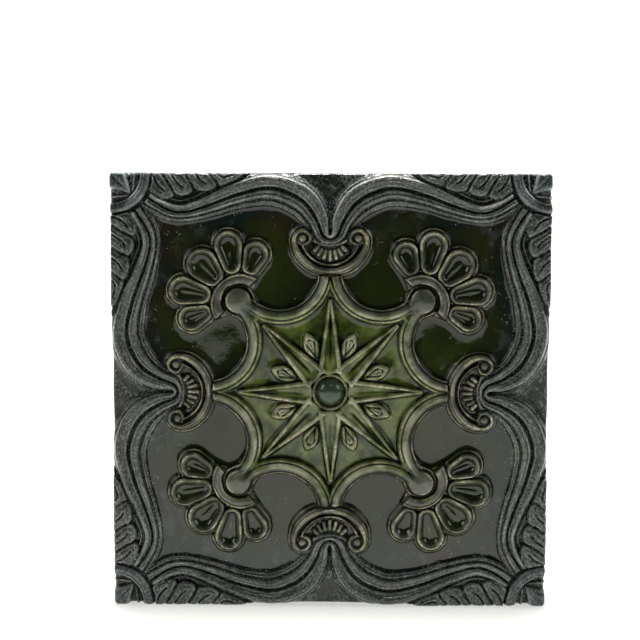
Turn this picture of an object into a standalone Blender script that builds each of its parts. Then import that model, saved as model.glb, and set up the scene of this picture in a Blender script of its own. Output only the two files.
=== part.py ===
# Relief azulejo tile: one pressed and glazed square tile, decorated face towards -Y, back flat on y = 0.
import math
import bmesh
import bpy
import numpy as np
from mathutils import Matrix

MM = 0.001               # the scene is in metres

# Driving sizes in millimetres.
TILE_SIDE = 140.0        # side of the square face
BODY_DEPTH = 9.5         # back to the sunk ground of the face
RELIEF = 4.0             # highest rib above the ground
CORNER_RADIUS = 1.8      # rounding of the four upright edges
RIM_CHAMFER = 0.7        # bevel round the face
PART_DEPTH = 5.0         # depth of the back part of the edge, which tapers
BACK_TAPER = 0.6         # how far the back lies inside the face on each side
KEY_COUNT = 4            # keying pockets along one side of the back
KEY_LAND = 9.0           # land between two pockets
KEY_MARGIN = 11.0        # land round the outside of the pockets
KEY_DEPTH = 1.6          # depth of a pocket
KEY_DRAFT = 1.2          # slope of a pocket's walls

# The ornament is drawn on a tile of 140 units and scaled to TILE_SIDE.
HALF = 70.0
UNIT = TILE_SIDE / (2 * HALF)
LIFT = RELIEF / 4.0

# Mesh: cells along half a side of the fine surface, and triangles kept in one eighth of the face.
CELLS = 200
EIGHTH_FACES = 1130

# Ribbon border from the middle of a side to the corner ring:
# x, z of the groove, then the widths of the outer rib, the inner rib and the step inside it.
RIBBON = (
    (0.0, 48.9, 1.6, 1.6, 0.9), (2.4, 50.4, 2.6, 2.4, 1.0), (4.4, 55.2, 4.4, 2.9, 1.5),
    (8.2, 60.6, 5.6, 3.6, 1.9), (14.0, 64.0, 5.6, 3.8, 2.0), (20.5, 65.1, 5.2, 3.6, 2.1),
    (30.0, 62.8, 4.6, 3.0, 1.6), (38.1, 59.8, 3.7, 2.5, 1.4), (46.2, 57.5, 3.0, 1.9, 1.3),
    (51.6, 58.3, 2.8, 2.1, 1.5), (57.8, 62.2, 2.0, 2.5, 1.6), (61.0, 65.0, 1.6, 2.5, 1.6),
)
# Crescent at the middle of a side and the curl at its end: x, z and half width.
CRESCENT = (
    (0.0, 38.4, 2.0), (4.4, 38.9, 2.0), (8.4, 41.2, 1.95), (11.0, 44.6, 1.8), (12.0, 48.2, 1.6),
    (11.2, 50.9, 1.35), (9.0, 52.1, 1.15), (6.9, 50.9, 1.0), (6.4, 48.8, 0.9), (7.4, 47.3, 0.8),
)
# Leaves between ribbon and edge: tip, middle and tail with half widths.
LEAVES = (
    ((29.6, 68.3, 1.5), (33.0, 69.2, 1.6), (41.0, 73.0, 1.5)),
    ((37.9, 66.6, 2.0), (41.6, 67.9, 2.1), (50.0, 74.0, 1.7)),
    ((45.4, 65.2, 2.0), (48.2, 66.6, 2.1), (55.0, 73.0, 1.7)),
    ((51.2, 64.7, 2.0), (53.8, 66.2, 2.1), (59.5, 72.0, 1.6)),
)
POOL = (16.3, 39.4)      # centre of a scallop of the eight-pointed frame
SHELL = 29.6             # x and z of a shell's button
# Shell petals: direction from the diagonal, lower and upper limit, reach, head radius, root radius.
PETALS = ((0, -19.2, 19.2, 17.6, 6.3, 2.6), (36, 19.2, 51.4, 18.1, 5.8, 2.6), (66, 51.4, 180, 17.8, 5.6, 3.3))
OFF = -9.0               # a height that never shows


def smooth_route(points, steps):
    """Points of a smooth curve through the rows; every column is blended the same way."""
    p = np.array(points, float)
    p = np.vstack([2 * p[0] - p[1], p, 2 * p[-1] - p[-2]])
    if points[0][0] == 0:
        p[0] = p[2]
        p[0, 0] = -p[2, 0]
    t = np.linspace(0, 1, steps, endpoint=False)[:, None]
    rows = []
    for a, b, c, d in zip(p[:-3], p[1:-2], p[2:-1], p[3:]):
        bend = (2 * a - 5 * b + 4 * c - d) * t ** 2 + (3 * b - a - 3 * c + d) * t ** 3
        rows.append(b + 0.5 * ((c - a) * t + bend))
    return np.vstack(rows + [p[-2:-1]])


def along_route(points, x, z, steps=8):
    """Distance to the curve, positive on its left, and the blended columns at the nearest place."""
    route = smooth_route(points, steps)
    far = np.full(x.shape, np.inf)
    side = np.ones(x.shape)
    columns = [np.zeros(x.shape) for _ in range(route.shape[1] - 2)]
    for a, b in zip(route[:-1], route[1:]):
        dx, dz = b[:2] - a[:2]
        t = np.clip(((x - a[0]) * dx + (z - a[1]) * dz) / (dx * dx + dz * dz), 0, 1)
        ox = x - a[0] - t * dx
        oz = z - a[1] - t * dz
        d = np.hypot(ox, oz)
        near = d < far
        far[near] = d[near]
        side[near] = np.where(dx * oz - dz * ox < 0, -1.0, 1.0)[near]
        for k, column in enumerate(columns):
            column[near] = (a[k + 2] + t * (b[k + 2] - a[k + 2]))[near]
    return far * side, columns


def rib(d, half, height, bulge=0.6):
    """Round rib of the given half width; it dives below the ground outside it."""
    t = np.clip(np.abs(d) / half, 0, 1)
    return np.where(np.abs(d) < half, height * (1 - t * t) ** bulge, 2.0 * (half - np.abs(d)))


def ledge(d, height, slope=0.5):
    """Flat ledge where d is negative, with a short sloping edge."""
    return np.where(d < 0, height * np.clip(-d / slope, 0, 1), -2.0 * d)


def drop(x, z, ax, az, ar, bx, bz, br):
    """Distance to the outline of two circles and their common tangents, negative inside."""
    length = math.hypot(bx - ax, bz - az)
    ux, uz = (bx - ax) / length, (bz - az) / length
    along = (x - ax) * ux + (z - az) * uz
    across = np.abs((x - ax) * uz - (z - az) * ux)
    s = (br - ar) / length
    c = math.sqrt(1 - s * s)
    foot = along * c + across * s
    ends = np.where(foot < 0, np.hypot(along, across) - ar, np.hypot(along - length, across) - br)
    return np.where((foot < 0) | (foot > c * length), ends, across * c - along * s - ar)


def ribbon(x, z):
    d, (outer, inner, edge) = along_route(RIBBON, x, z)
    outer_rib = rib(d - outer * 0.56, outer * 0.46, 3.9)
    inner_rib = rib(d + inner / 2, inner / 2 + 0.1, 3.1)
    bed = np.minimum(ledge(d - outer * 0.95, 1.6), ledge(-d - inner, 1.6))
    step = np.minimum(ledge(d - outer, 0.9), ledge(-d - inner - edge, 1.0))
    return np.maximum.reduce([outer_rib, inner_rib, bed, step])


def crescent(x, z):
    d, (half,) = along_route(CRESCENT, x, z)
    body = rib(d, half, 3.6, 0.5)
    eye = rib(np.hypot(x - 8.6, z - 48.6), 1.3, 3.7)
    curl = ledge(np.hypot(x - 8.8, z - 48.9) - 2.8, 1.6)
    lip = np.where((z < 47.0) & (x < 9.4), rib(np.hypot(x, z - 50.2) - 9.4, 0.7, 2.7), OFF)
    collar = ledge(np.maximum(np.abs(z - 47.1 - 0.045 * x * x) - 0.95, x - 5.4), 1.5)
    return np.maximum.reduce([body, eye, curl, lip, collar, ledge(np.abs(d) - half - 0.75, 1.0)])


def beads(x, z):
    h = ledge(np.maximum(z - 48.0, np.hypot(x, z - 50.2) - 9.3), 0.5)
    for k in range(4):
        a = math.radians(15.5 * k)
        r = (x - math.sin(a) * 6.6) * math.sin(a) - (z - 50.4 + math.cos(a) * 6.6) * math.cos(a)
        q = (x - math.sin(a) * 6.6) * math.cos(a) + (z - 50.4 + math.cos(a) * 6.6) * math.sin(a)
        h = np.maximum(h, rib(np.hypot(np.maximum(np.abs(r) - 1.1 + 0.1 * k, 0), q), 0.8, 2.3))
    return h


def scallops(x, z):
    d = np.hypot(x - POOL[0], z - POOL[1])
    h = np.maximum.reduce([rib(d - 17.2, 1.75, 3.0), rib(d - 14.2, 1.35, 2.6), ledge(np.abs(d - 15.9) - 2.95, 1.3)])
    facet = np.abs(x - 25.4) + np.abs(z - 25.4)
    h = np.maximum(h, np.where(facet < 3.4, 2.3, OFF))
    return np.where((z < 37.5) & ((x + z) / math.sqrt(2) < 41.0), h, OFF)


def star(x, z):
    h = np.full(x.shape, OFF)
    for a in (0.0, math.pi / 4):
        along = x * math.sin(a) + z * math.cos(a)
        across = np.abs(x * math.cos(a) - z * math.sin(a))
        left = np.clip(1 - along / 29.3, 0, 1)
        half = 2.95 * np.minimum(left * 1.5, 1) ** 0.85 + 0.01
        roof = (1.0 + 2.2 * left) * (1 - 0.65 * np.clip(across / half, 0, 1))
        reach = np.clip(1 - along / 18.5, 0, 1)
        groove = 1.4 * reach ** 0.5 * np.clip(1 - across / (0.35 + 0.9 * reach), 0, 1)
        inside = (across < half) & (along > 0) & (along < 29.2)
        h = np.maximum(h, np.where(inside, roof - groove, OFF))
    r = np.hypot(x, z)
    h = np.where(r < 5.1, np.minimum(h, 0.7), h)
    return np.maximum(h, rib(r, 4.1, 4.0, 0.5))


def bud(x, z):
    a = math.radians(27)
    along = (x - 6.6) * math.sin(a) + (z - 15.7) * math.cos(a)
    across = (x - 6.6) * math.cos(a) - (z - 15.7) * math.sin(a)
    lobes = ((-3.4, -0.2, 0.8, 1.6, -0.2, 1.6), (-2.6, 0, 0.7, 1.0, 1.55, 1.25), (-2.2, 0, 0.7, 2.3, -1.5, 1.2))
    h = np.full(x.shape, OFF)
    for lobe in lobes:
        h = np.maximum(h, ledge(drop(along, across, *lobe), 2.3, 1.0))
    return h


def shell(x, z):
    u = (x + z - 2 * SHELL) / math.sqrt(2)
    v = np.abs(x - z) / math.sqrt(2)
    r = np.hypot(u, v)
    turn = np.degrees(np.arctan2(v, u))
    h = ledge(r - 5.0, 1.6)
    for axis, low, high, reach, head, root in PETALS:
        c, s = math.cos(math.radians(axis)), math.sin(math.radians(axis))
        q = drop(u, v, c * 8.8, s * 8.8, root, c * reach, s * reach, head)
        outside = np.clip(np.maximum(low - turn, turn - high), -60, 60)
        q = np.maximum(q, r * np.sin(np.radians(outside)) - 0.6)
        rim = np.interp(-q, [0, 0.5, 1.5, 2.2], [0.0, 1.1, 3.0, 2.8])
        along = u * c + v * s
        across = np.abs(u * s - v * c)
        p = -drop(along, across, 12.6, 0, 1.0, reach, 0, head - 2.15)
        hollow = np.interp(p, [-0.4, 1.0, 2.0], [0, 2.0, 2.3]) * np.clip((along - 6.5) / 9, 0.35, 1)
        h = np.maximum(h, np.where(q < 0, rim - hollow, -2 * q))
    # the C-shaped collar round the button, wider towards its ends
    outer = 7.8 + 1.5 * np.clip((turn - 40) / 45, 0, 1)
    mid, half = (4.7 + outer) / 2, (outer - 4.7) / 2
    end = math.radians(84)
    arc = np.where(turn < 84, np.abs(r - mid), np.hypot(u - mid * math.cos(end), v - mid * math.sin(end))) - half
    collar = np.where(arc < 0, np.interp(-arc, [0, 0.6, 1.6], [0, 2.6, 2.9]), -2 * arc)
    return np.maximum.reduce([h, collar, rib(r, 4.1, 3.7, 0.5)])


def leaves(x, z):
    h = np.full(x.shape, OFF)
    for points in LEAVES:
        d, (half,) = along_route(points, x, z, 4)
        h = np.maximum(h, rib(d, half, 3.0, 0.45))
    return h


def corner(x, z):
    r = np.hypot(HALF - x, HALF - z)
    ring = np.interp(np.abs(r - 11.5), [0, 1.3, 1.9], [3.5, 2.8, 0.0])
    along = (x + z) / math.sqrt(2) - 63.3 * math.sqrt(2)
    across = np.abs(x - z) / math.sqrt(2)
    petal = (0.56 * along - across) * 0.87
    petal = np.where(petal > 0, np.interp(petal, [0, 0.6, 1.5, 3.5], [0.8, 2.2, 3.2, 3.6]), OFF)
    return np.where(np.abs(r - 11.5) < 1.9, ring, np.where(r < 9.6, petal, OFF))


def relief(x, z):
    """Height of the ornament above the ground; the drawing is one eighth, folded over the face."""
    x, z = np.abs(x), np.abs(z)
    x, z = np.minimum(x, z), np.maximum(x, z)
    clear = np.hypot(HALF - x, HALF - z) > 12.9
    h = np.zeros(x.shape)
    for part in (leaves, ribbon):
        h = np.maximum(h, np.where(clear, part(x, z), OFF))
    for part in (crescent, beads, scallops, star, bud, shell, corner):
        h = np.maximum(h, part(x, z))
    return h


def soft_relief(x, z, blur=0.22):
    """The relief with the corners eased a little, as clay leaves the mould."""
    h = 2 * relief(x, z)
    for dx, dz in ((1, 1), (1, -1), (-1, 1), (-1, -1)):
        h = h + relief(x + dx * blur, z + dz * blur)
    return h / 6


def round_corner(x, z):
    """Bends the square grid so that its outermost corner follows the corner radius."""
    radius = CORNER_RADIUS / UNIT
    u = np.clip((x - HALF + radius) / radius, 0, 1)
    v = np.clip((z - HALF + radius) / radius, 0, 1)
    return x - radius * u * (1 - np.sqrt(1 - v * v / 2)), z - radius * v * (1 - np.sqrt(1 - u * u / 2))


def eighth_of_face():
    """The face over 0 <= x <= z: a fine grid lifted to the relief, then thinned by Decimate."""
    chamfer = RIM_CHAMFER / UNIT
    bm = bmesh.new()
    bmesh.ops.create_grid(bm, x_segments=CELLS, y_segments=CELLS, size=1.0)
    geom = bm.verts[:] + bm.edges[:] + bm.faces[:]
    bmesh.ops.bisect_plane(bm, geom=geom, dist=1e-5, plane_co=(0, 0, 0), plane_no=(1, -1, 0), clear_outer=True)
    # grid places run from -1 to 1; the last row of cells is the bevel round the face
    places = (np.array([v.co for v in bm.verts]) + 1) / 2
    marks = ([0, 1 - 1 / CELLS, 1], [0, HALF - chamfer, HALF])
    across, up = np.interp(places[:, 0], *marks), np.interp(places[:, 1], *marks)
    x, z = round_corner(across, up)
    bevel = np.clip(up - HALF + chamfer, 0, None)
    y = -BODY_DEPTH - soft_relief(x, z) * LIFT + bevel * UNIT
    for v, place in zip(bm.verts, np.column_stack([x * UNIT, y, z * UNIT]) * MM):
        v.co = place
    mesh = bpy.data.meshes.new("fine_eighth")
    bm.to_mesh(mesh)
    fine = bpy.data.objects.new("fine_eighth", mesh)
    bpy.context.scene.collection.objects.link(fine)
    thin = fine.modifiers.new("thin", "DECIMATE")
    thin.ratio = EIGHTH_FACES / sum(len(f.verts) - 2 for f in bm.faces)
    thin.use_collapse_triangulate = True
    bm.free()
    depsgraph = bpy.context.evaluated_depsgraph_get()
    eighth = bpy.data.meshes.new_from_object(fine.evaluated_get(depsgraph))
    bpy.data.objects.remove(fine)
    return eighth


def snap_borders(mesh):
    """Puts the border of the eighth exactly on the two mirror planes and on the outline."""
    half = TILE_SIDE / 2 * MM
    radius = CORNER_RADIUS * MM
    corner = half - radius
    tip = corner + radius / math.sqrt(2)
    bm = bmesh.new()
    bm.from_mesh(mesh)
    edge = next(e for e in bm.edges if e.is_boundary)
    loop = [edge.link_loops[0].vert]
    while True:
        # each border edge runs the way its own face does
        ahead = [e.link_loops[0] for e in loop[-1].link_edges if e.is_boundary]
        step = next(l for l in ahead if l.vert == loop[-1]).link_loop_next.vert
        if step == loop[0]:
            break
        loop.append(step)
    ends = []
    for x, z in ((0, 0), (tip, tip), (0, half)):
        ends.append(min(loop, key=lambda v: math.hypot(v.co.x - x, v.co.z - z)))
    start = loop.index(ends[0])
    loop = loop[start:] + loop[:start]
    to_tip, to_side = loop.index(ends[1]), loop.index(ends[2])
    for k, v in enumerate(loop):
        if 0 < k < to_tip:
            v.co.x = v.co.z = (v.co.x + v.co.z) / 2
        elif to_tip < k < to_side and v.co.x > corner:
            reach = radius / math.hypot(v.co.x - corner, v.co.z - corner)
            v.co.x = corner + (v.co.x - corner) * reach
            v.co.z = corner + (v.co.z - corner) * reach
        elif to_tip < k < to_side:
            v.co.z = half
        elif k > to_side:
            v.co.x = 0
    ends[0].co.x = ends[0].co.z = 0
    ends[1].co.x = ends[1].co.z = tip
    ends[2].co.x, ends[2].co.z = 0, half
    # a sliver that now lies in a mirror plane would meet its own mirror image
    slivers = [f for f in bm.faces if all(v.co.x == 0 for v in f.verts) or all(v.co.x == v.co.z for v in f.verts)]
    bmesh.ops.delete(bm, geom=slivers, context="FACES")
    bm.to_mesh(mesh)
    bm.free()


def tile_body(eighth):
    """Eight mirrored copies of the eighth, then the edge walls, the taper and the flat back."""
    bm = bmesh.new()
    for a, b in ((0, 1), (1, 0)):
        for sx in (1, -1):
            for sz in (1, -1):
                turn = Matrix(((b * sx, 0, a * sx, 0), (0, 1, 0, 0), (a * sz, 0, b * sz, 0), (0, 0, 0, 1)))
                copy = eighth.copy()
                copy.transform(turn)
                if turn.determinant() < 0:
                    copy.flip_normals()
                bm.from_mesh(copy)
                bpy.data.meshes.remove(copy)
    bmesh.ops.remove_doubles(bm, verts=bm.verts, dist=1e-6)
    face_edges = set(bm.edges)
    shrink = 1 - 2 * BACK_TAPER / TILE_SIDE
    for depth, scale in ((PART_DEPTH, 1.0), (0.0, shrink)):
        rim = [e for e in bm.edges if e.is_boundary]
        new = bmesh.ops.extrude_edge_only(bm, edges=rim)["geom"]
        for v in new:
            if isinstance(v, bmesh.types.BMVert):
                v.co = (v.co.x * scale, -depth * MM, v.co.z * scale)
    bmesh.ops.contextual_create(bm, geom=[e for e in bm.edges if e.is_boundary])
    plain = [e for e in bm.edges if e not in face_edges]
    spare = [v for v in bm.verts if not any(e in face_edges for e in v.link_edges)]
    bmesh.ops.dissolve_limit(bm, angle_limit=0.0005, verts=spare, edges=plain)
    bmesh.ops.recalc_face_normals(bm, faces=bm.faces)
    mesh = bpy.data.meshes.new("tile")
    bm.to_mesh(mesh)
    bm.free()
    return mesh


def keying_pockets():
    """Cutter for the shallow square pockets that key the tile to its mortar bed."""
    inner = TILE_SIDE - 2 * KEY_MARGIN
    size = (inner - (KEY_COUNT - 1) * KEY_LAND) / KEY_COUNT
    bm = bmesh.new()
    for i in range(KEY_COUNT):
        for k in range(KEY_COUNT):
            block = bmesh.ops.create_cube(bm, size=1.0)["verts"]
            for v in block:
                # the block is as deep behind the back as in front of it, and wider there
                reach = size + 2 * (KEY_DRAFT if v.co.y > 0 else -KEY_DRAFT)
                cx = (i + 0.5) * size + i * KEY_LAND - inner / 2
                cz = (k + 0.5) * size + k * KEY_LAND - inner / 2
                v.co = ((cx + v.co.x * reach) * MM, v.co.y * 2 * KEY_DEPTH * MM, (cz + v.co.z * reach) * MM)
    mesh = bpy.data.meshes.new("keys")
    bm.to_mesh(mesh)
    bm.free()
    return bpy.data.objects.new("keys", mesh)


for old in list(bpy.data.objects):
    bpy.data.objects.remove(old)

glaze = bpy.data.materials.new("green_glaze")
glaze.use_nodes = True
surface = glaze.node_tree.nodes["Principled BSDF"]
surface.inputs["Base Color"].default_value = (0.03, 0.045, 0.012, 1.0)
surface.inputs["Roughness"].default_value = 0.15

eighth = eighth_of_face()
snap_borders(eighth)
tile_mesh = tile_body(eighth)
bpy.data.meshes.remove(eighth)
tile_mesh.materials.append(glaze)
tile = bpy.data.objects.new("tile", tile_mesh)
group = bpy.data.collections.new("relief_azulejo_tile")
bpy.context.scene.collection.children.link(group)
group.objects.link(tile)

cutters = bpy.data.collections.new("cutters")
bpy.context.scene.collection.children.link(cutters)
keys = keying_pockets()
cutters.objects.link(keys)
keys.hide_render = True
keys.display_type = "WIRE"
cut = tile.modifiers.new("keying pockets", "BOOLEAN")
cut.operation = "DIFFERENCE"
cut.solver = "EXACT"
cut.object = keys
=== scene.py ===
import math
import bmesh
import bpy
import numpy as np
from mathutils import Matrix, Vector


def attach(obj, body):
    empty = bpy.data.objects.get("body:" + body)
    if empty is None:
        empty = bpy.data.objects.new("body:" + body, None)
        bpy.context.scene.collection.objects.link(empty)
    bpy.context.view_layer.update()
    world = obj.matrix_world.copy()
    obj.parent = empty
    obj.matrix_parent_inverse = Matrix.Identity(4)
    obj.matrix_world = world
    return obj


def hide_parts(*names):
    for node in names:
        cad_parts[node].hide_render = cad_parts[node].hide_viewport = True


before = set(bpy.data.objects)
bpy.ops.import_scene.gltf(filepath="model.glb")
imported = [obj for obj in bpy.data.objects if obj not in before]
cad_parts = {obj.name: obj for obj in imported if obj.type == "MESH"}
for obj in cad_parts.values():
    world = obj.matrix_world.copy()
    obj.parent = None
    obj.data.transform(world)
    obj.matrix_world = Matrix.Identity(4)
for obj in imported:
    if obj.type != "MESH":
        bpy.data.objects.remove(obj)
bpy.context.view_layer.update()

MM = 0.001
HALF = 70.0              # half the tile's side in millimetres
BODY_DEPTH = 9.5         # back to the sunk ground of the face
CORNER_RADIUS = 1.3      # rounding of the four upright edges
RIM = 0.8                # rounding round the face
PART_DEPTH = 5.0         # depth of the back part of the edge, which tapers
BACK_TAPER = 0.6         # how far the back lies inside the face on each side
KEY_COUNT = 4            # keying pockets along one side of the back
KEY_LAND = 9.0           # land between two pockets
KEY_MARGIN = 11.0        # land round the outside of the pockets
KEY_DEPTH = 1.6          # depth of a pocket
KEY_DRAFT = 1.2          # slope of a pocket's walls
CREST = 13.75            # depth that no crest of the relief goes past
CORNER_REACH = 13.4      # radius of the corner ring, where ribbon and leaves end
CELLS = 700              # cells of the fine grid along one side
FACE_TRIANGLES = 186000  # triangles kept of the fine face
OFF = -9.0               # a height that never shows
EDGE_SWAY = 0.1          # unevenness of the tile's edges
DRAWING_SWAY = 0.16      # unevenness of the drawing

# x, z of the groove, then the widths of the outer rib, the inner rib and the step inside it
RIBBON = (
    (0.0, 48.9, 1.6, 1.6, 0.9), (2.4, 50.4, 2.6, 2.4, 1.0), (4.4, 55.2, 4.4, 2.9, 1.5),
    (8.2, 60.6, 5.6, 3.6, 1.9), (14.0, 64.0, 5.6, 3.8, 2.0), (20.5, 65.1, 5.2, 3.6, 2.1),
    (30.0, 62.8, 4.6, 3.0, 1.6), (38.1, 59.8, 3.7, 2.5, 1.4), (46.2, 57.5, 3.0, 1.9, 1.3),
    (51.6, 58.3, 2.8, 2.1, 1.5), (57.8, 62.2, 2.0, 2.5, 1.6), (61.0, 65.0, 1.6, 2.5, 1.6),
)
# cross-sections as (place, height): the outer and the inner rib run from the groove to their far edge
OUTER_RIB = (
    (0, 0.5), (0.05, 1.0), (0.14, 2.7), (0.2, 3.15), (0.27, 2.85), (0.34, 3.5), (0.5, 3.95), (0.6, 3.9),
    (0.69, 3.45), (0.75, 3.5), (0.83, 2.7), (0.89, 1.3), (0.95, 1.7), (1.0, 1.3),
)
INNER_RIB = (
    (0, 0.5), (0.07, 1.5), (0.2, 2.8), (0.32, 3.15), (0.42, 2.7), (0.52, 3.2), (0.68, 3.1), (0.85, 2.3),
    (0.94, 1.1), (1.0, 1.0),
)
STEP = ((0, 0.9), (0.25, 1.7), (0.5, 1.25), (0.8, 1.2), (1.0, 0.0))
# x, z and half width along the crescent and the curl at its end
CRESCENT = (
    (0.0, 38.8, 1.4), (4.2, 39.5, 1.5), (7.7, 41.5, 1.55), (10.4, 44.6, 1.4), (11.5, 47.9, 1.1),
    (11.1, 50.3, 0.95), (9.5, 51.8, 0.85), (7.6, 51.5, 0.8), (6.4, 50.0, 0.75), (6.7, 48.3, 0.7),
    (8.2, 47.4, 0.6),
)
# outlines of the leaves between ribbon and edge
LEAVES = (
    ((27.6, 70.6), (29.0, 68.2), (32.0, 66.7), (35.2, 65.9), (36.0, 67.2), (38.0, 69.2),
     (39.3, 71.0), (33.0, 72.5)),
    ((36.3, 66.9), (36.2, 65.6), (38.2, 64.4), (41.0, 64.1), (43.0, 64.9), (43.9, 66.7),
     (45.6, 69.1), (46.8, 71.0), (43.5, 72.5), (39.8, 70.6), (37.6, 68.6)),
    ((44.0, 65.8), (43.7, 64.4), (45.2, 63.1), (47.5, 62.8), (49.2, 63.5), (50.2, 65.3),
     (52.0, 68.2), (53.6, 70.8), (50.5, 72.5), (47.2, 70.6), (45.4, 68.2)),
    ((50.4, 64.2), (50.0, 62.8), (51.8, 61.8), (54.2, 61.8), (56.8, 63.2), (57.6, 66.0),
     (57.4, 71.0), (56.0, 72.5), (54.2, 70.5), (52.2, 67.7)),
)
# half width and depth of the slit in each leaf, then its route
SLITS = (
    (0.2, 1.2, (31.0, 69.2), (34.4, 68.6), (37.0, 70.8)),
    (0.22, 1.4, (39.7, 66.7), (41.2, 67.6), (43.7, 70.6)),
    (0.22, 1.4, (46.8, 65.4), (48.5, 66.8), (51.0, 70.4)),
    (0.22, 1.4, (52.9, 64.5), (54.7, 66.2), (56.2, 69.4)),
)
POOL = (16.3, 39.4)      # centre of a scallop of the eight-pointed frame
# the frame round the star from the pool's centre outwards
FRAME = (
    (12.4, 0), (12.7, 1.7), (12.95, 2.3), (13.3, 1.4), (13.65, 2.4), (14.4, 3.2), (15.0, 3.5), (15.6, 3.3),
    (16.0, 2.7), (16.3, 1.7), (16.65, 2.4), (17.0, 2.1), (17.4, 1.1), (17.9, 0),
)
SHELL = 29.6             # x and z of a shell's button
# shell petals: direction from the diagonal, its limits, then place and radius of the bowl's root and head
PETALS = (
    (0, -19.2, 19.2, 11.6, 2.9, 16.1, 4.15),
    (35, 19.2, 51.4, 11.7, 2.3, 17.7, 3.65),
    (66, 51.4, 180, 11.6, 2.0, 15.7, 3.25),
)
# cross-sections of a petal, of the band at the petals' roots and of the corner ring
PETAL_RIM = (
    (-2.6, 1.1), (-1.9, 1.25), (-1.2, 1.7), (-0.5, 2.5), (0, 3.1), (0.35, 3.35), (0.7, 3.0),
    (0.95, 1.9), (1.1, 1.2), (1.35, 1.45), (1.9, 1.2), (2.2, 0),
)
BAND = ((0, 1.0), (0.06, 2.2), (0.2, 3.1), (0.6, 3.25), (0.68, 2.75), (0.8, 3.4), (0.92, 2.9), (1.0, 1.2))
CORNER_RING = (
    (9.2, 0.3), (9.6, 2.3), (10.0, 2.75), (10.25, 2.4), (10.7, 3.1), (11.6, 3.45), (12.4, 3.1),
    (12.9, 2.0), (13.3, 0.2),
)


def smooth_route(points, steps, closed=False):
    """A smooth curve through the points; one that starts at x = 0 is mirrored there."""
    p = np.array(points, float)
    if closed:
        p = np.vstack([p[-1:], p, p[:2]])
    else:
        p = np.vstack([2 * p[0] - p[1], p, 2 * p[-1] - p[-2]])
        if points[0][0] == 0:
            p[0] = p[2]
            p[0, 0] = -p[2, 0]
    t = np.linspace(0, 1, steps, endpoint=False)[:, None]
    rows = []
    for a, b, c, d in zip(p[:-3], p[1:-2], p[2:-1], p[3:]):
        bend = (2 * a - 5 * b + 4 * c - d) * t ** 2 + (3 * b - a - 3 * c + d) * t ** 3
        rows.append(b + 0.5 * ((c - a) * t + bend))
    return np.vstack(rows + [p[-2:-1]])


def along_route(points, x, z, steps=8, closed=False):
    """Distance to the curve, positive on its left, and the blended columns at the nearest place."""
    route = smooth_route(points, steps, closed)
    far = np.full(x.shape, np.inf)
    side = np.ones(x.shape)
    columns = [np.zeros(x.shape) for _ in range(route.shape[1] - 2)]
    for a, b in zip(route[:-1], route[1:]):
        dx, dz = b[:2] - a[:2]
        t = np.clip(((x - a[0]) * dx + (z - a[1]) * dz) / (dx * dx + dz * dz), 0, 1)
        ox = x - a[0] - t * dx
        oz = z - a[1] - t * dz
        d = np.hypot(ox, oz)
        near = d < far
        far[near] = d[near]
        side[near] = np.where(dx * oz - dz * ox < 0, -1.0, 1.0)[near]
        for k, column in enumerate(columns):
            column[near] = (a[k + 2] + t * (b[k + 2] - a[k + 2]))[near]
    return far * side, columns


def section(place, points):
    """Height of a cross-section given as (place, height) pairs, OFF outside them."""
    xs, hs = zip(*points)
    return np.where((place < xs[0]) | (place > xs[-1]), OFF, np.interp(place, xs, hs))


def rib(d, half, height, bulge=0.7):
    """Height of a rounded rib, by the distance from its middle line."""
    t = np.clip(np.abs(d) / half, 0, 1)
    return np.where(np.abs(d) < half, height * (1 - t * t) ** bulge, 2.0 * (half - np.abs(d)))


def ledge(d, height, slope=0.35):
    """Height of a flat step with a rounded edge, inside where d is negative."""
    t = np.clip(-d / slope, 0, 1)
    return np.where(d < 0, height * np.sin(t * np.pi / 2), -2.0 * d)


def line(d, width, depth):
    """Depth of a fine engraved line."""
    return depth * np.exp(-(d / width) ** 2)


def soft_max(a, b, k=0.25):
    """The higher of two heights, with a small fillet where they meet."""
    return np.maximum(a, b) + 0.25 * k * np.maximum(1 - np.abs(a - b) / k, 0) ** 2


def drop(x, z, ax, az, ar, bx, bz, br):
    """Distance to the outline of two circles and their common tangents, negative inside."""
    length = math.hypot(bx - ax, bz - az)
    ux, uz = (bx - ax) / length, (bz - az) / length
    along = (x - ax) * ux + (z - az) * uz
    across = np.abs((x - ax) * uz - (z - az) * ux)
    s = (br - ar) / length
    c = math.sqrt(1 - s * s)
    foot = along * c + across * s
    ends = np.where(foot < 0, np.hypot(along, across) - ar, np.hypot(along - length, across) - br)
    return np.where((foot < 0) | (foot > c * length), ends, across * c - along * s - ar)


def ribbon(x, z):
    d, (outer, inner, edge) = along_route(RIBBON, x, z)
    h = np.where(d > 0, section(d / outer, OUTER_RIB), section(-d / inner, INNER_RIB))
    h = np.maximum(h, section((-d - inner) / edge, STEP))
    h = np.maximum(h, np.minimum(ledge(d - outer - 0.55, 0.8), ledge(-d - inner - edge, 0.8)))
    h = np.maximum(h, np.where(x > 24, rib(d - outer - 0.8, 0.42, 1.9, 0.5), OFF))
    end = np.hypot(HALF - x, HALF - z) - CORNER_REACH
    return np.minimum(h, np.interp(end, [0, 0.5, 1.2], [0.5, 1.0, 5.0]))


def cusp_collar(x, z):
    return np.where(x < 5.4, rib(z - 47.05 - 0.06 * x * x, 0.95, 2.3, 0.6), OFF)


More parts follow.
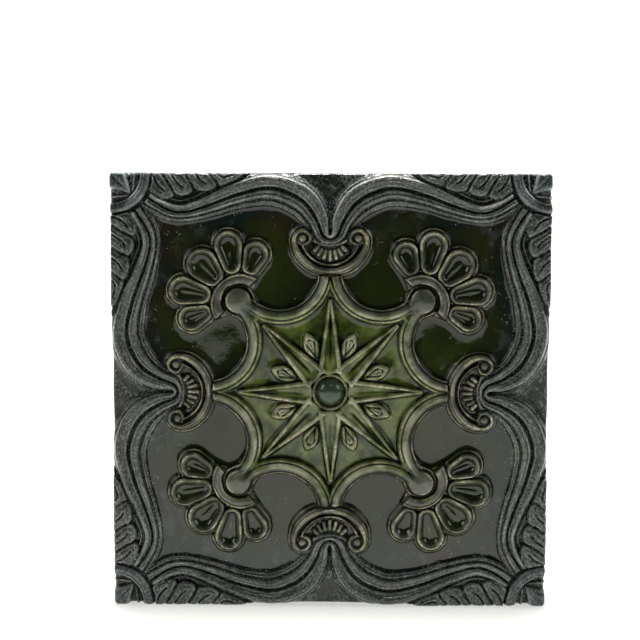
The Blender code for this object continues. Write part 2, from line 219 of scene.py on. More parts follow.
def crescent(x, z):
    d, (half,) = along_route(CRESCENT, x, z)
    t = d / half
    body = np.where(np.abs(t) < 1, 3.6 * np.sqrt(np.clip(1 - t * t, 0, 1)) - line(t + 0.42, 0.13, 0.5), OFF)
    curl = np.hypot(x - 8.9, z - 49.4)
    eye = rib(np.hypot(x - 8.8, z - 49.3), 1.8, 3.5, 0.45)
    rim = ledge(np.abs(d) - half - 0.95, 1.1)
    lip = np.where((z < 47.6) & (x < 9.7), rib(np.hypot(x, z - 50.2) - 9.35, 0.62, 3.0), OFF)
    return np.maximum.reduce([body, eye, rim, lip, ledge(curl - 2.6, 2.2)])


def beads(x, z):
    h = ledge(np.maximum(z - 47.0, np.hypot(x, z - 50.2) - 9.3), 1.5)
    for k in range(4):
        a = math.radians(15.0 * k)
        reach = 6.65 - 0.14 * k
        cx, cz = math.sin(a) * reach, 50.4 - math.cos(a) * reach
        r = (x - cx) * math.sin(a) - (z - cz) * math.cos(a)
        q = (x - cx) * math.cos(a) + (z - cz) * math.sin(a)
        h = np.maximum(h, rib(np.hypot(np.maximum(np.abs(r) - 1.3 + 0.2 * k, 0), q), 0.94, 2.9, 0.38))
    return h


def frame_round_star(x, z):
    h = section(np.hypot(x - POOL[0], z - POOL[1]), FRAME)
    facet = np.abs(x - 25.4) + np.abs(z - 25.4)
    h = np.maximum(h, np.where(facet < 4.4, np.minimum(2.5, 6.0 - facet), OFF))
    return np.where((z < 37.5) & ((x + z) / math.sqrt(2) < 41.0), h, OFF)


def star(x, z):
    r = np.hypot(x, z)
    h = np.full(x.shape, OFF)
    for a, tip, groove in ((0.0, 29.8, 0.5), (math.pi / 4, 30.8, 1.1)):
        along = x * math.sin(a) + z * math.cos(a)
        across = np.abs(x * math.cos(a) - z * math.sin(a))
        left = np.clip(tip - along, 0, None)
        crest = np.minimum(0.13 * left, 3.1) + 0.1
        top = 1.5 + 0.075 * left
        ridge = top * (1 - np.clip((across - crest) / (0.52 + 0.03 * left), -1, 1) ** 2) ** 0.5
        cut = line(across, 0.5, groove) * np.clip((along - 8) / 3, 0, 1)
        middle = np.where(across < crest, top - 0.85 - cut, OFF)
        here = (along > 6.0) & (along < tip)
        skirt = ledge(across - crest - 0.65 - 0.7 * np.minimum(left / 4, 1), 0.5)
        h = np.maximum(h, np.where(here, np.maximum.reduce([ridge, middle, skirt]), OFF))
    collar = ledge(np.maximum(r - 6.2, -9), 2.0)
    h = np.maximum(h, np.where(r < 6.2, collar, OFF))
    h = np.where(r < 5.1, np.interp(r, [4.2, 4.35, 4.5, 4.7, 4.85, 5.1], [1.2, 2.0, 1.6, 0.7, 0.8, 2.1]), h)
    ball = 3.95 - (5.4 - np.sqrt(np.clip(5.4 ** 2 - r * r, 0, None)))
    return np.where(r < 4.15, ball, h)


def bud(x, z):
    a = math.radians(22)
    along = (x - 6.1) * math.sin(a) + (z - 14.9) * math.cos(a)
    across = (x - 6.1) * math.cos(a) - (z - 14.9) * math.sin(a)
    q = np.maximum(np.hypot(np.abs(across) + 3.0, along) - 5.6, -4.3 - along)
    body = 2.6 * (1 - np.clip(1 + q / 1.3, 0, 1) ** 2) ** 0.5
    fan = np.abs(across) - 0.3 * (along + 3.4)
    cuts = (line(fan, 0.22, 1.0) + line(across, 0.18, 0.7)) * np.clip((2.4 - along) / 1.5, 0, 1)
    cuts = cuts + line(along - 2.2 + across ** 2, 0.25, 0.9)
    body = body - cuts * np.clip(-q * 1.4, 0, 1)
    return np.maximum(np.where(q < 0, body, -2 * q), ledge(q - 0.8, 0.45))


def shell(x, z):
    u = (x + z - 2 * SHELL) / math.sqrt(2)
    v = np.abs(x - z) / math.sqrt(2)
    r = np.hypot(u, v)
    turn = np.degrees(np.arctan2(v, u))
    h = np.full(x.shape, OFF)
    for axis, low, high, root, root_radius, head, head_radius in PETALS:
        c, s = math.cos(math.radians(axis)), math.sin(math.radians(axis))
        bowl = drop(u, v, c * root, s * root, root_radius, c * head, s * head, head_radius)
        outside = np.clip(np.maximum(low - turn, turn - high), -60, 60)
        edge = r * np.sin(np.radians(outside))
        petal = section(np.clip(bowl, -2.6, None), PETAL_RIM)
        along = u * c + v * s
        across = np.abs(u * s - v * c)
        tongue = 0.55 * np.exp(-(across / 0.5) ** 2) * np.clip((head + 1.5 - along) / 4, 0, 1)
        tongue = tongue * np.clip(-bowl - 0.6, 0, 1)
        side = np.where(edge < 0, np.interp(-edge, [0, 0.18, 0.5], [1.3, 2.6, 9.0]), OFF)
        h = np.maximum(h, np.minimum(petal + tongue, side))
    outer = 8.3 + 1.0 * np.clip((turn - 20) / 60, 0, 1)
    inner = 4.9 + 0.4 * np.clip((turn - 40) / 40, 0, 1)
    band = section((r - inner) / (outer - inner), BAND)
    band = np.minimum(band, np.where(u > 0.4, np.interp(u, [0.4, 0.7, 1.2], [1.2, 2.4, 9.0]), OFF))
    skirt = ledge(np.maximum(r - 9.9, (0.5 - 0.42 * (9.7 - v) - u) * 0.92), 1.15)
    knob = drop(u, v, 0, 0, 4.2, -5.0, 0, 2.3)
    foot = ledge(knob - 1.1, 1.15)
    top = 3.0 + 0.85 * (1 - np.minimum(r / 4.2, 1.4) ** 2)
    rim = np.where(u < 0.4, rib(knob - 0.8, 0.42, 2.1), OFF)
    dome = np.where(knob < 0, top + np.interp(-knob, [0, 0.3, 0.7], [-1.7, -0.5, 0]), OFF)
    h = np.where((r < outer) & (u > 0.4), np.minimum(h, 1.0), h)
    return np.maximum.reduce([h, skirt, band, foot, rim, dome])


def leaves(x, z):
    h = np.full(x.shape, OFF)
    for outline in LEAVES:
        d, _ = along_route(outline, x, z, 3, closed=True)
        t = np.clip((d + 0.3) / 1.4, 0, 1)
        swell = 0.9 + 2.5 * np.sqrt(1 - (1 - t) ** 2) - line(d - 0.95, 0.17, 0.3)
        h = np.maximum(h, np.where(d > -0.3, swell, OFF))
    vein = np.sin((0.76 * x - 0.65 * z + 0.25 * np.sin(0.9 * z)) * 4.4)
    h = h + 0.08 * vein * np.clip(h - 2.2, 0, 1)
    for width, depth, *slit in SLITS:
        d, _ = along_route(slit, x, z, 3)
        h = h - line(d, width, depth)
    return h


def corner(x, z):
    r = np.hypot(HALF - x, HALF - z)
    ring = section(r, CORNER_RING)
    along = (x + z) / math.sqrt(2) - 63.2 * math.sqrt(2)
    across = np.abs(x - z) / math.sqrt(2)
    petal = (0.62 * along - across) * 0.85
    top = np.interp(petal, [0, 0.25, 0.8, 1.6, 3.5], [0.5, 1.8, 3.0, 3.4, 3.3]) - line(across, 0.3, 0.5)
    petal = np.where(petal > 0, top, OFF)
    dart = np.where(along > 0.4, rib((across - 1.25 * along - 0.2) * 0.62, 0.55, 2.0), OFF)
    inside = np.where(r < 9.0, np.maximum(petal, dart), OFF)
    return np.maximum.reduce([ring, inside, ledge(r - 9.5, 0.3)])


def within(x, z, box, shape):
    """A part of the relief worked out only inside its box."""
    h = np.full(x.shape, OFF)
    here = (x > box[0]) & (x < box[1]) & (z > box[2]) & (z < box[3])
    h[here] = shape(x[here], z[here])
    return h


def folded(x, z):
    """The place in the one eighth that is drawn."""
    x, z = np.abs(x), np.abs(z)
    return np.minimum(x, z), np.maximum(x, z)


def relief(x, z):
    """Height of the ornament above the ground."""
    x, z = folded(x, z)
    clear = np.hypot(HALF - x, HALF - z) > CORNER_REACH
    h = np.maximum(0.0, np.where(clear, within(x, z, (24, 60, 60, 80), leaves), OFF))
    h = soft_max(h, within(x, z, (-1, 62, 44, 80), ribbon))
    parts = (
        (cusp_collar, (-1, 6, 44, 51)), (frame_round_star, (-1, 34, 18, 39)),
        (crescent, (-1, 16, 34, 56)), (beads, (-1, 10, 40, 48)), (star, (-1, 24, -1, 32)),
        (bud, (1, 12, 7, 22)), (shell, (17, 50, 17, 56)), (corner, (54, 80, 54, 80)),
    )
    for part, box in parts:
        h = soft_max(h, within(x, z, box, part))
    return h


def zones(x, z):
    """Masks of border, star field, pool margin, blue corners and boss, and the place across the ribbon."""
    x, z = folded(x, z)
    from_corner = np.hypot(HALF - x, HALF - z)
    from_middle = np.hypot(x, z)
    d, (outer, inner, step) = along_route(RIBBON, x, z, 3)
    inside = -d - inner - step
    border = np.where(from_corner < 15, 1.0, np.clip(0.5 - inside / 1.2, 0, 1))
    margin = np.exp(-np.clip(inside, 0, 60) / 6.0)
    field = np.clip((np.hypot(x - POOL[0], z - POOL[1]) - 14.0) / 1.5, 0, 1)
    field = field * (from_middle < 36) * (from_middle > 4.4)
    blue = np.clip((15.0 - from_corner) / 3, 0, 1)
    boss = np.clip((4.3 - from_middle) / 0.2, 0, 1)
    across = np.clip(d, -12, 12)
    return {"border": border, "field": field, "margin": margin, "blue": blue, "boss": boss, "across": across}


def waves(x, z, seed, pitch, count=7):
    """A smooth random surface with features about pitch millimetres across."""
    rng = np.random.default_rng(seed)
    total = np.zeros(x.shape)
    for _ in range(count):
        a = rng.uniform(0, math.tau)
        k = math.tau / (pitch * rng.uniform(0.7, 1.6))
        total += np.sin((x * math.cos(a) + z * math.sin(a)) * k + rng.uniform(0, math.tau))
    return total / math.sqrt(count)


def blur(h, cells):
    """Gaussian softening of a square grid."""
    reach = int(math.ceil(cells * 3))
    weights = np.exp(-0.5 * (np.arange(-reach, reach + 1) / cells) ** 2)
    weights /= weights.sum()
    for axis in (0, 1):
        padded = np.pad(h, [(reach, reach) if a == axis else (0, 0) for a in (0, 1)], mode="edge")
        h = sum(w * np.take(padded, range(k, k + h.shape[axis]), axis) for k, w in enumerate(weights))
    return h


def round_corner(x, z):
    """Places of the square grid, drawn in at the four corners."""
    u = np.clip((np.abs(x) - HALF + CORNER_RADIUS) / CORNER_RADIUS, 0, 1)
    v = np.clip((np.abs(z) - HALF + CORNER_RADIUS) / CORNER_RADIUS, 0, 1)
    return (x - np.sign(x) * CORNER_RADIUS * u * (1 - np.sqrt(1 - v * v / 2)),
            z - np.sign(z) * CORNER_RADIUS * v * (1 - np.sqrt(1 - u * u / 2)))


# the fine face as a grid of heights, with low waves for hand pressing
marks = np.linspace(-HALF, HALF, CELLS + 1)
grid_x, grid_z = np.meshgrid(marks, marks)
face_x, face_z = round_corner(grid_x, grid_z)
face_x = face_x + EDGE_SWAY * np.sign(grid_x) * waves(grid_x, grid_z, 21, 22) * (np.abs(grid_x) / HALF) ** 12
face_z = face_z + EDGE_SWAY * np.sign(grid_z) * waves(grid_x, grid_z, 22, 22) * (np.abs(grid_z) / HALF) ** 12
bent_x = face_x + DRAWING_SWAY * waves(grid_x, grid_z, 11, 55)
bent_z = face_z + DRAWING_SWAY * waves(grid_x, grid_z, 12, 55)
height = blur(relief(bent_x, bent_z), 0.7)
broad = blur(height, 5.0)
height = height + 0.22 * np.maximum(broad - height, 0) * np.clip(1 - height / 0.8, 0, 1)
swell = 1 + 0.03 * waves(grid_x, grid_z, 13, 30)
ripple = 0.03 * waves(grid_x, grid_z, 16, 2.6) * np.clip(height - 0.5, 0, 1)
height = height * swell + ripple
edge = HALF - np.maximum(np.abs(grid_x), np.abs(grid_z))
rim_drop = RIM - np.sqrt(np.clip(RIM ** 2 - np.clip(RIM - edge, 0, RIM) ** 2, 0, None))
ground = 0.03 * waves(grid_x, grid_z, 14, 14) + 0.05 * waves(grid_x, grid_z, 15, 45)
depth = np.clip(-BODY_DEPTH - height + rim_drop - ground, -CREST, None)
slope_z, slope_x = np.gradient(depth, marks, marks)

# masks for the glaze: where it is thin on ridges, thick in hollows, and how high it lies; the creases and
# hollows also carry painted shade
masks = zones(bent_x, bent_z)
masks["level"] = height / 4
masks["thin"] = np.clip((height - blur(height, 2.2)) / 0.35, -1, 1)
masks["crisp"] = np.clip((height - blur(height, 1.3)) / 0.12, -1, 1)
masks["proud"] = np.clip((height - blur(height, 9.0)) / 0.6, 0, 1)
masks["hollow"] = np.clip((broad - height) / 1.2, 0, 1)


def grid_mesh(name, x, y, z):
    """A mesh of quads from three square arrays of places in millimetres."""
    rows, columns = x.shape
    mesh = bpy.data.meshes.new(name)
    mesh.vertices.add(rows * columns)
    mesh.vertices.foreach_set("co", (np.column_stack([x.ravel(), y.ravel(), z.ravel()]) * MM).ravel())
    base = (np.arange(rows - 1)[:, None] * columns + np.arange(columns - 1)[None, :]).ravel()
    quads = np.column_stack([base, base + 1, base + columns + 1, base + columns])
    mesh.loops.add(quads.size)
    mesh.loops.foreach_set("vertex_index", quads.ravel())
    mesh.polygons.add(len(quads))
    mesh.polygons.foreach_set("loop_start", np.arange(len(quads)) * 4)
    mesh.update(calc_edges=True)
    return mesh


fine = bpy.data.objects.new("fine_face", grid_mesh("fine_face", face_x, depth, face_z))
bpy.context.scene.collection.objects.link(fine)
thinner = fine.modifiers.new("thin", "DECIMATE")
thinner.ratio = FACE_TRIANGLES / (2 * CELLS * CELLS)
thinner.use_collapse_triangulate = True
tile_mesh = bpy.data.meshes.new_from_object(fine.evaluated_get(bpy.context.evaluated_depsgraph_get()))
bpy.data.objects.remove(fine)

# walls, taper and back
bm = bmesh.new()
bm.from_mesh(tile_mesh)
face_edges = set(bm.edges)
shrink = 1 - BACK_TAPER / HALF
for level, scale in ((7.5, 1.0), (PART_DEPTH, 1.0), (2.5, (1 + shrink) / 2), (0.0, shrink)):
    rim = [e for e in bm.edges if e.is_boundary]
    for v in bmesh.ops.extrude_edge_only(bm, edges=rim)["geom"]:
        if isinstance(v, bmesh.types.BMVert):
            v.co.y = -level * MM
            if level < PART_DEPTH:
                v.co.x *= scale / (1.0 if level > 1 else (1 + shrink) / 2)
                v.co.z *= scale / (1.0 if level > 1 else (1 + shrink) / 2)
back = bmesh.ops.contextual_create(bm, geom=[e for e in bm.edges if e.is_boundary])["faces"]
for f in back:
    f.material_index = 1
plain = [e for e in bm.edges if e not in face_edges]
spare = [v for v in bm.verts if not any(e in face_edges for e in v.link_edges)]
bmesh.ops.dissolve_limit(bm, angle_limit=0.0005, verts=spare, edges=plain)
bmesh.ops.recalc_face_normals(bm, faces=bm.faces)
bm.to_mesh(tile_mesh)
bm.free()

inner = 2 * HALF - 2 * KEY_MARGIN
pocket = (inner - (KEY_COUNT - 1) * KEY_LAND) / KEY_COUNT
bm = bmesh.new()
for i in range(KEY_COUNT):
    for k in range(KEY_COUNT):
        for v in bmesh.ops.create_cube(bm, size=1.0)["verts"]:
            reach = pocket + 2 * (KEY_DRAFT if v.co.y > 0 else -KEY_DRAFT)
            cx = (i + 0.5) * pocket + i * KEY_LAND - inner / 2
            cz = (k + 0.5) * pocket + k * KEY_LAND - inner / 2
            v.co = ((cx + v.co.x * reach) * MM, v.co.y * 2 * KEY_DEPTH * MM, (cz + v.co.z * reach) * MM)
bmesh.ops.bevel(bm, geom=bm.edges[:], offset=0.5 * MM, segments=2, affect="EDGES")
for f in bm.faces:
    f.material_index = 1
key_mesh = bpy.data.meshes.new("keys")
bm.to_mesh(key_mesh)
bm.free()
keys = bpy.data.objects.new("keys", key_mesh)
bpy.context.scene.collection.objects.link(keys)
tile = bpy.data.objects.new("glazed_tile", tile_mesh)
bpy.context.scene.collection.objects.link(tile)
cut = tile.modifiers.new("keys", "BOOLEAN")
cut.object = keys
cut.solver = "EXACT"
cut.material_mode = "INDEX"
whole = bpy.data.meshes.new_from_object(tile.evaluated_get(bpy.context.evaluated_depsgraph_get()))
tile.modifiers.clear()
tile.data = whole
bpy.data.objects.remove(keys)

# bare clay in the keying pockets
centres = np.zeros(len(whole.polygons) * 3)
whole.polygons.foreach_get("center", centres)
centres = centres.reshape(-1, 3) / MM
inward = np.abs(centres[:, [0, 2]]).max(axis=1) < HALF - KEY_MARGIN + 2
in_pocket = (centres[:, 1] > -KEY_DEPTH - 0.1) & inward
slots = np.zeros(len(whole.polygons), np.int32)
whole.polygons.foreach_get("material_index", slots)
whole.polygons.foreach_set("material_index", np.where(in_pocket, 1, slots).astype(np.int32))

# masks as point attributes, then shading from the grid's own slopes, flat on the back
co = np.zeros(len(whole.vertices) * 3)
whole.vertices.foreach_get("co", co)
co = co.reshape(-1, 3) / MM
column = np.clip((co[:, 0] + HALF) / (2 * HALF) * CELLS, 0, CELLS - 1e-6)
row = np.clip((co[:, 2] + HALF) / (2 * HALF) * CELLS, 0, CELLS - 1e-6)
c0, r0 = column.astype(int), row.astype(int)
fc, fr = column - c0, row - r0


def picked(values):
    """Values of the grid at the mesh's vertices."""
    low = values[r0, c0] * (1 - fc) + values[r0, c0 + 1] * fc
    high = values[r0 + 1, c0] * (1 - fc) + values[r0 + 1, c0 + 1] * fc
    return low * (1 - fr) + high * fr


for name, values in masks.items():
    layer = whole.attributes.new(name, "FLOAT", "POINT")
    off_face = 1.0 if name == "border" else 0.0
    value = np.where(co[:, 1] > -BODY_DEPTH + 2.2, off_face, picked(values))
    layer.data.foreach_set("value", value.astype(np.float32))
whole.shade_smooth()
whole.set_sharp_from_angle(angle=math.radians(60))
corners = np.zeros(len(whole.loops) * 3)
whole.corner_normals.foreach_get("vector", corners)
corners = corners.reshape(-1, 3)
at = np.zeros(len(whole.loops), int)
whole.loops.foreach_get("vertex_index", at)
flat = np.zeros(len(whole.polygons) * 3)
whole.polygons.foreach_get("normal", flat)
flat = flat.reshape(-1, 3)
sizes = np.zeros(len(whole.polygons), int)
whole.polygons.foreach_get("loop_total", sizes)
on_face = np.repeat(flat[:, 1] < -0.03, sizes)
on_back = np.repeat(in_pocket | (flat[:, 1] > 0.9), sizes)
corners = np.where(on_back[:, None], np.repeat(flat, sizes, axis=0), corners)
drawn = np.column_stack([picked(slope_x), np.full(len(co), -1.0), picked(slope_z)])
drawn /= np.linalg.norm(drawn, axis=1)[:, None]
whole.normals_split_custom_set(np.where(on_face[:, None], drawn[at], corners).tolist())


def mix(tree, factor, a, b):
    """A colour mix; each of the three may be a socket or a constant."""
    made = tree.nodes.new("ShaderNodeMix")
    made.data_type = "RGBA"
    for socket, value in ((made.inputs[0], factor), (made.inputs[6], a), (made.inputs[7], b)):
        if isinstance(value, bpy.types.NodeSocket):
            tree.links.new(value, socket)
        elif isinstance(value, tuple):
            socket.default_value = (*value, 1.0)
        else:
            socket.default_value = value
    return made.outputs[2]


def maths(tree, operation, a, b=0.0, c=0.0):
    """One step of arithmetic; each value may be a socket or a constant."""
    made = tree.nodes.new("ShaderNodeMath")
    made.operation = operation
    for socket, value in zip(made.inputs, (a, b, c)):
        if isinstance(value, bpy.types.NodeSocket):
            tree.links.new(value, socket)
        else:
            socket.default_value = value
    return made.outputs[0]


def ramp(tree, value, low, high):
    """Maps a value linearly from low (place, result) to high (place, result), clamped beyond them."""
    made = tree.nodes.new("ShaderNodeMapRange")
    tree.links.new(value, made.inputs[0])
    for k, number in enumerate((low[0], high[0], low[1], high[1])):
        made.inputs[k + 1].default_value = number
    return made.outputs[0]


def noise(tree, place, scale, detail=4.0, rough=0.55):
    made = tree.nodes.new("ShaderNodeTexNoise")
    tree.links.new(place, made.inputs["Vector"])
    made.inputs["Scale"].default_value = scale
    made.inputs["Detail"].default_value = detail
    made.inputs["Roughness"].default_value = rough
    return made.outputs["Fac"]


def times(tree, a, b):
    return maths(tree, "MULTIPLY", a, b)


def plus(tree, a, b):
    return maths(tree, "ADD", a, b)


def most(tree, a, b):
    return maths(tree, "MAXIMUM", a, b)


def blend(tree, factor, a, b):
    """Mixes two numbers."""
    made = tree.nodes.new("ShaderNodeMix")
    for socket, value in zip(made.inputs[0:1] + made.inputs[2:4], (factor, a, b)):
        if isinstance(value, bpy.types.NodeSocket):
            tree.links.new(value, socket)
        else:
            socket.default_value = value
    return made.outputs[0]


def attribute(tree, name):
    made = tree.nodes.new("ShaderNodeAttribute")
    made.attribute_name = name
    return made.outputs["Fac"]


def roughen(tree, shader, height, strength, distance):
    """Bumps too fine for the mesh."""
    bump = tree.nodes.new("ShaderNodeBump")
    bump.inputs["Strength"].default_value = strength
    bump.inputs["Distance"].default_value = distance
    tree.links.new(height, bump.inputs["Height"])
    tree.links.new(bump.outputs[0], shader.inputs["Normal"])


def glaze_material():
    material = bpy.data.materials.new("green_glaze")
    material.use_nodes = True
    tree = material.node_tree
    shader = tree.nodes["Principled BSDF"]
    place = tree.nodes.new("ShaderNodeTexCoord").outputs["Object"]
    axes = tree.nodes.new("ShaderNodeSeparateXYZ")
    tree.links.new(place, axes.inputs[0])
    level, thin, crisp = attribute(tree, "level"), attribute(tree, "thin"), attribute(tree, "crisp")
    proud, hollow, across = attribute(tree, "proud"), attribute(tree, "hollow"), attribute(tree, "across")
    border, field, margin = attribute(tree, "border"), attribute(tree, "field"), attribute(tree, "margin")
    blue, boss = attribute(tree, "blue"), attribute(tree, "boss")
    cloud = noise(tree, place, 38.0, 5.0)
    mottle = noise(tree, place, 170.0, 4.0)
    grit = noise(tree, place, 1300.0, 2.0, 0.7)
    grain = noise(tree, place, 2400.0, 3.0, 0.7)

    # streaks that run along the ribbon
    run_place = tree.nodes.new("ShaderNodeCombineXYZ")
    tree.links.new(times(tree, across, 0.001), run_place.inputs[0])
    tree.links.new(times(tree, axes.outputs["X"], 0.07), run_place.inputs[1])
    tree.links.new(times(tree, axes.outputs["Z"], 0.07), run_place.inputs[2])
    streak = noise(tree, run_place.outputs[0], 1500.0, 2.0, 0.6)

    # what stands up, and what lies in creases and hollows, darkened there by painted shade and by thicker
    # glaze
    raised = ramp(tree, level, (0.3, 0.0), (0.62, 1.0))
    raised = times(tree, raised, ramp(tree, proud, (0.1, 0.1), (0.8, 1.0)))
    crease_shade = ramp(tree, thin, (-0.6, 1.0), (-0.1, 0.0))
    crease_shade = most(tree, crease_shade, ramp(tree, crisp, (-0.8, 0.6), (-0.2, 0.0)))
    shade_and_pooling = most(tree, crease_shade, ramp(tree, hollow, (0.25, 0.0), (0.9, 0.85)))

    # dark olive pools, teal and brown near the ribbon, lighter round the star
    cloudy = ramp(tree, cloud, (0.35, 0.0), (0.65, 1.0))
    pool = mix(tree, cloudy, (0.011, 0.016, 0.0025), (0.028, 0.036, 0.005))
    cloudy = ramp(tree, cloud, (0.4, 0.0), (0.6, 1.0))
    rim_pool = mix(tree, cloudy, (0.006, 0.018, 0.017), (0.02, 0.016, 0.008))
    pool = mix(tree, ramp(tree, margin, (0.2, 0.0), (0.75, 1.0)), pool, rim_pool)
    veil = ramp(tree, mottle, (0.54, 0.0), (0.66, 0.8))
    veil = times(tree, ramp(tree, margin, (0.1, 0.1), (0.6, 1.0)), veil)
    pool = mix(tree, veil, pool, (0.045, 0.058, 0.045))
    mottled = ramp(tree, mottle, (0.4, 0.0), (0.6, 1.0))
    star_pool = mix(tree, mottled, (0.034, 0.056, 0.007), (0.15, 0.185, 0.04))
    pool = mix(tree, field, pool, star_pool)

    # grey-olive skin on what stands up, with painted pale and gold glints on its sharp edges
    worn = ramp(tree, mottle, (0.35, 0.0), (0.65, 1.0))
    skin = mix(tree, worn, (0.045, 0.052, 0.03), (0.14, 0.148, 0.112))
    star_skin = mix(tree, mottled, (0.12, 0.145, 0.042), (0.38, 0.4, 0.26))
    skin = mix(tree, field, skin, star_skin)
    green = mix(tree, raised, pool, skin)
    green = mix(tree, boss, green, (0.034, 0.062, 0.034))
    # painted shade with the thicker glaze: nearly black in creases and hollows
    green = mix(tree, shade_and_pooling, green, (0.004, 0.006, 0.001))
    # painted highlight, partly the paler thin glaze there: pale and gold glints along sharp edges
    lit = ramp(tree, mottle, (0.46, 0.15), (0.58, 1.0))
    lit = times(tree, ramp(tree, crisp, (0.45, 0.0), (1.0, 1.0)), lit)
    gold_glint = mix(tree, ramp(tree, grit, (0.45, 0.0), (0.55, 1.0)), (0.34, 0.27, 0.08), (0.6, 0.62, 0.5))
    green = mix(tree, lit, green, gold_glint)

    # border: grey skin, olive in places, nearly black in the grooves from painted shade and thicker glaze,
    # blue at the corners
    cloudy = ramp(tree, cloud, (0.3, 0.0), (0.7, 1.0))
    grey = mix(tree, cloudy, (0.019, 0.022, 0.02), (0.042, 0.047, 0.042))
    olive = ramp(tree, mottle, (0.5, 0.15), (0.64, 0.8))
    olive = times(tree, olive, ramp(tree, across, (0.0, 1.0), (4.0, 0.35)))
    grey = mix(tree, olive, grey, (0.058, 0.06, 0.024))
    grey = mix(tree, times(tree, blue, 0.75), grey, (0.03, 0.052, 0.066))
    # painted shade with the thicker glaze: darker the lower it lies, nearly black deep in the grooves
    grey = mix(tree, ramp(tree, level, (0.08, 0.85), (0.45, 0.0)), grey, (0.007, 0.01, 0.009))
    grey = mix(tree, ramp(tree, streak, (0.36, 0.6), (0.48, 0.0)), grey, (0.012, 0.014, 0.012))
    grey = mix(tree, ramp(tree, streak, (0.56, 0.0), (0.7, 0.45)), grey, (0.13, 0.145, 0.13))
    # painted highlight: pale glints along the border's sharp edges
    edges = ramp(tree, mottle, (0.4, 0.35), (0.58, 1.0))
    edges = times(tree, ramp(tree, crisp, (0.35, 0.0), (1.0, 0.9)), edges)
    glint = mix(tree, ramp(tree, grit, (0.46, 0.0), (0.58, 1.0)), (0.22, 0.24, 0.21), (0.55, 0.57, 0.52))
    grey = mix(tree, edges, grey, glint)
    # painted shade with the thicker glaze: nearly black in creases and hollows
    grey = mix(tree, shade_and_pooling, grey, (0.005, 0.007, 0.006))

    # pale speckles and scrawls on the border
    pale = ramp(tree, grit, (0.5, 0.0), (0.66, 0.75))
    pale = times(tree, pale, ramp(tree, level, (0.0, 0.3), (0.5, 1.0)))
    grey = mix(tree, pale, grey, (0.19, 0.21, 0.195))
    scrawl = maths(tree, "SUBTRACT", noise(tree, place, 620.0, 2.0), 0.5)
    scrawl = ramp(tree, maths(tree, "ABSOLUTE", scrawl), (0.02, 0.8), (0.07, 0.0))
    scrawl = times(tree, scrawl, ramp(tree, mottle, (0.5, 0.0), (0.56, 1.0)))
    scrawl = times(tree, scrawl, ramp(tree, level, (0.1, 1.0), (0.3, 0.0)))
    grey = mix(tree, scrawl, grey, (0.22, 0.25, 0.23))
    colour = mix(tree, border, green, grey)

    # pale specks, thickest along the ribbon
    cells = tree.nodes.new("ShaderNodeTexVoronoi")
    tree.links.new(place, cells.inputs["Vector"])
    cells.inputs["Scale"].default_value = 1150.0
    speck = ramp(tree, cells.outputs["Distance"], (0.16, 1.0), (0.24, 0.0))
    wanted = plus(tree, times(tree, margin, 0.13), noise(tree, place, 260.0, 2.0))
    dots = times(tree, speck, ramp(tree, wanted, (0.66, 0.0), (0.7, 1.0)))
    colour = mix(tree, dots, colour, (0.3, 0.34, 0.31))

    # bare clay towards the back of the edges
    run = maths(tree, "SUBTRACT", cloud, 0.5)
    run = plus(tree, axes.outputs["Y"], times(tree, run, 0.012))
    bare = ramp(tree, axes.outputs["Y"], (-0.0026, 0.0), (-0.0022, 1.0))
    bare = most(tree, ramp(tree, run, (-0.0042, 0.0), (-0.0036, 1.0)), bare)
    clay = mix(tree, mottle, (0.34, 0.22, 0.13), (0.46, 0.33, 0.22))
    colour = mix(tree, bare, colour, clay)
    tree.links.new(colour, shader.inputs["Base Color"])

    glossy = ramp(tree, level, (0.3, 0.03), (0.7, 0.06))
    satin = ramp(tree, mottle, (0.3, 0.14), (0.7, 0.26))
    rough = blend(tree, border, glossy, satin)
    rough = blend(tree, bare, rough, 0.8)
    tree.links.new(rough, shader.inputs["Roughness"])
    shader.inputs["IOR"].default_value = 1.6

    # fine grain where the glaze is thin, slow waves in the pools and pits at the specks
    rub = plus(tree, plus(tree, grain, grit), times(tree, streak, 1.5))
    share = maths(tree, "MULTIPLY_ADD", border, 0.85, 0.03)
    share = plus(tree, share, times(tree, raised, 0.45))
    wavy = times(tree, maths(tree, "SUBTRACT", mottle, 0.5), 0.5)
    pits = times(tree, dots, -0.5)
    bumps = plus(tree, plus(tree, times(tree, rub, share), wavy), pits)
    roughen(tree, shader, bumps, 0.35, 0.0002)
    return material


def clay_material():
    material = bpy.data.materials.new("bare_earthenware")
    material.use_nodes = True
    tree = material.node_tree
    shader = tree.nodes["Principled BSDF"]
    place = tree.nodes.new("ShaderNodeTexCoord").outputs["Object"]
    cloud = noise(tree, place, 45.0, 6.0)
    grain = noise(tree, place, 1100.0, 3.0, 0.7)
    colour = mix(tree, cloud, (0.28, 0.17, 0.1), (0.42, 0.29, 0.18))
    colour = mix(tree, ramp(tree, grain, (0.62, 0.0), (0.7, 0.6)), colour, (0.14, 0.08, 0.045))
    tree.links.new(colour, shader.inputs["Base Color"])
    shader.inputs["Roughness"].default_value = 0.85
    roughen(tree, shader, plus(tree, grain, cloud), 0.5, 0.0003)
    return material


whole.materials.clear()
whole.materials.append(glaze_material())
whole.materials.append(clay_material())
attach(tile, "root")
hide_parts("tile")


def sweep(name, profile, width, material):
    """A sheet that follows a profile of (y, z) points and runs along x."""
    mesh = bpy.data.meshes.new(name)
    points = [(side * width / 2, y, z) for y, z in profile for side in (-1, 1)]
    mesh.from_pydata(points, [], [(2 * k, 2 * k + 1, 2 * k + 3, 2 * k + 2) for k in range(len(profile) - 1)])
    mesh.shade_smooth()
    mesh.materials.append(material)
    made = bpy.data.objects.new(name, mesh)
    bpy.context.scene.collection.objects.link(made)
    return made


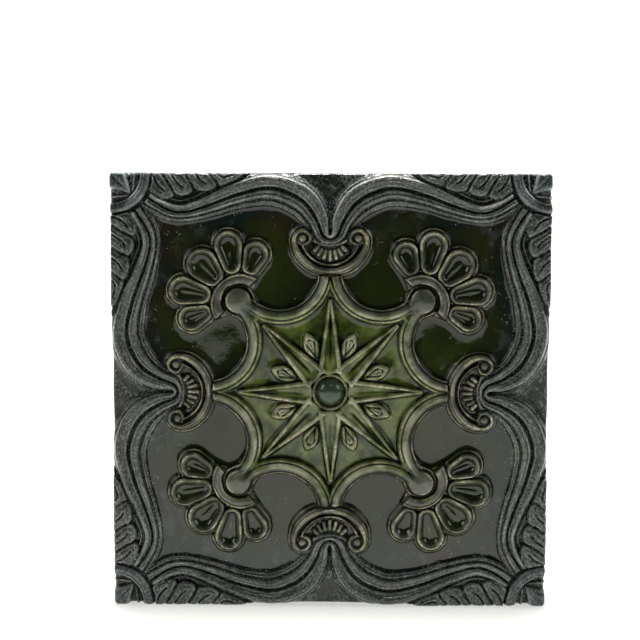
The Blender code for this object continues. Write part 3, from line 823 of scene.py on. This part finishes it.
def backdrop_material():
    """Pale paper that gives some light of its own, more towards the wall."""
    material = bpy.data.materials.new("paper")
    material.use_nodes = True
    tree = material.node_tree
    shader = tree.nodes["Principled BSDF"]
    place = tree.nodes.new("ShaderNodeTexCoord").outputs["Object"]
    faint = noise(tree, place, 3.0, 2.0)
    tree.links.new(mix(tree, faint, (0.4, 0.4, 0.38), (0.42, 0.42, 0.4)), shader.inputs["Base Color"])
    shader.inputs["Roughness"].default_value = 0.9
    shader.inputs["Specular IOR Level"].default_value = 0.1
    shader.inputs["Emission Color"].default_value = (1, 1, 0.96, 1)
    axes = tree.nodes.new("ShaderNodeSeparateXYZ")
    tree.links.new(place, axes.inputs[0])
    glow = ramp(tree, axes.outputs["Y"], (-0.1, 0.2), (0.1, 0.95))
    tree.links.new(glow, shader.inputs["Emission Strength"])
    return material


# floor and wall in one sheet, in metres
FLOOR = -HALF * MM
FLOOR_FRONT = -0.65
WALL = 0.9
WALL_TOP = 2.2
BEND = 0.3
SHEET_WIDTH = 5.0
turns = np.linspace(0, math.pi / 2, 12)
bend = [(WALL - BEND + BEND * math.sin(a), FLOOR + BEND - BEND * math.cos(a)) for a in turns]
profile = [(FLOOR_FRONT, FLOOR)] + bend + [(WALL, WALL_TOP)]
sweep("floor_and_wall", profile, SHEET_WIDTH, backdrop_material())


def soft_light(name, place, aim, size, power):
    data = bpy.data.lights.new(name, "AREA")
    data.shape = "RECTANGLE"
    data.size, data.size_y = size
    data.energy = power
    made = bpy.data.objects.new(name, data)
    made.location = place
    made.rotation_euler = (Vector(aim) - Vector(place)).to_track_quat("-Z", "Y").to_euler()
    bpy.context.scene.collection.objects.link(made)


soft_light("top", (0.0, 0.08, 1.0), (0.0, -0.05, -0.07), (0.4, 0.25), 26)
soft_light("left", (-1.1, -0.5, 0.6), (0.0, 0.0, 0.0), (0.5, 0.7), 3)
soft_light("right", (1.1, -0.5, 0.6), (0.0, 0.0, 0.0), (0.5, 0.7), 2.5)

world = bpy.data.worlds.new("studio")
world.use_nodes = True
world.node_tree.nodes["Background"].inputs[0].default_value = (0.03, 0.03, 0.032, 1)
world.node_tree.nodes["Background"].inputs[1].default_value = 1.0
bpy.context.scene.world = world
bpy.context.scene.view_settings.view_transform = "Standard"

# camera: slightly above, looking down on the face
CAMERA_PLACE = (0.00096, -0.4569, 0.0704)
LENS = 78.9
pitch, yaw, roll = math.radians(6.03), math.radians(0.55), math.radians(0.17)
ahead = Vector((-math.sin(yaw) * math.cos(pitch), math.cos(yaw) * math.cos(pitch), -math.sin(pitch)))
right = Vector((math.cos(yaw), math.sin(yaw), 0))
up = right.cross(ahead)
right, up = right * math.cos(roll) + up * math.sin(roll), up * math.cos(roll) - right * math.sin(roll)
camera_data = bpy.data.cameras.new("camera")
camera_data.lens = LENS
camera_data.sensor_width = 36.0
camera = bpy.data.objects.new("camera", camera_data)
turned = Matrix((right, up, -ahead)).transposed().to_4x4()
camera.matrix_world = Matrix.Translation(CAMERA_PLACE) @ turned
bpy.context.scene.collection.objects.link(camera)
bpy.context.scene.camera = camera
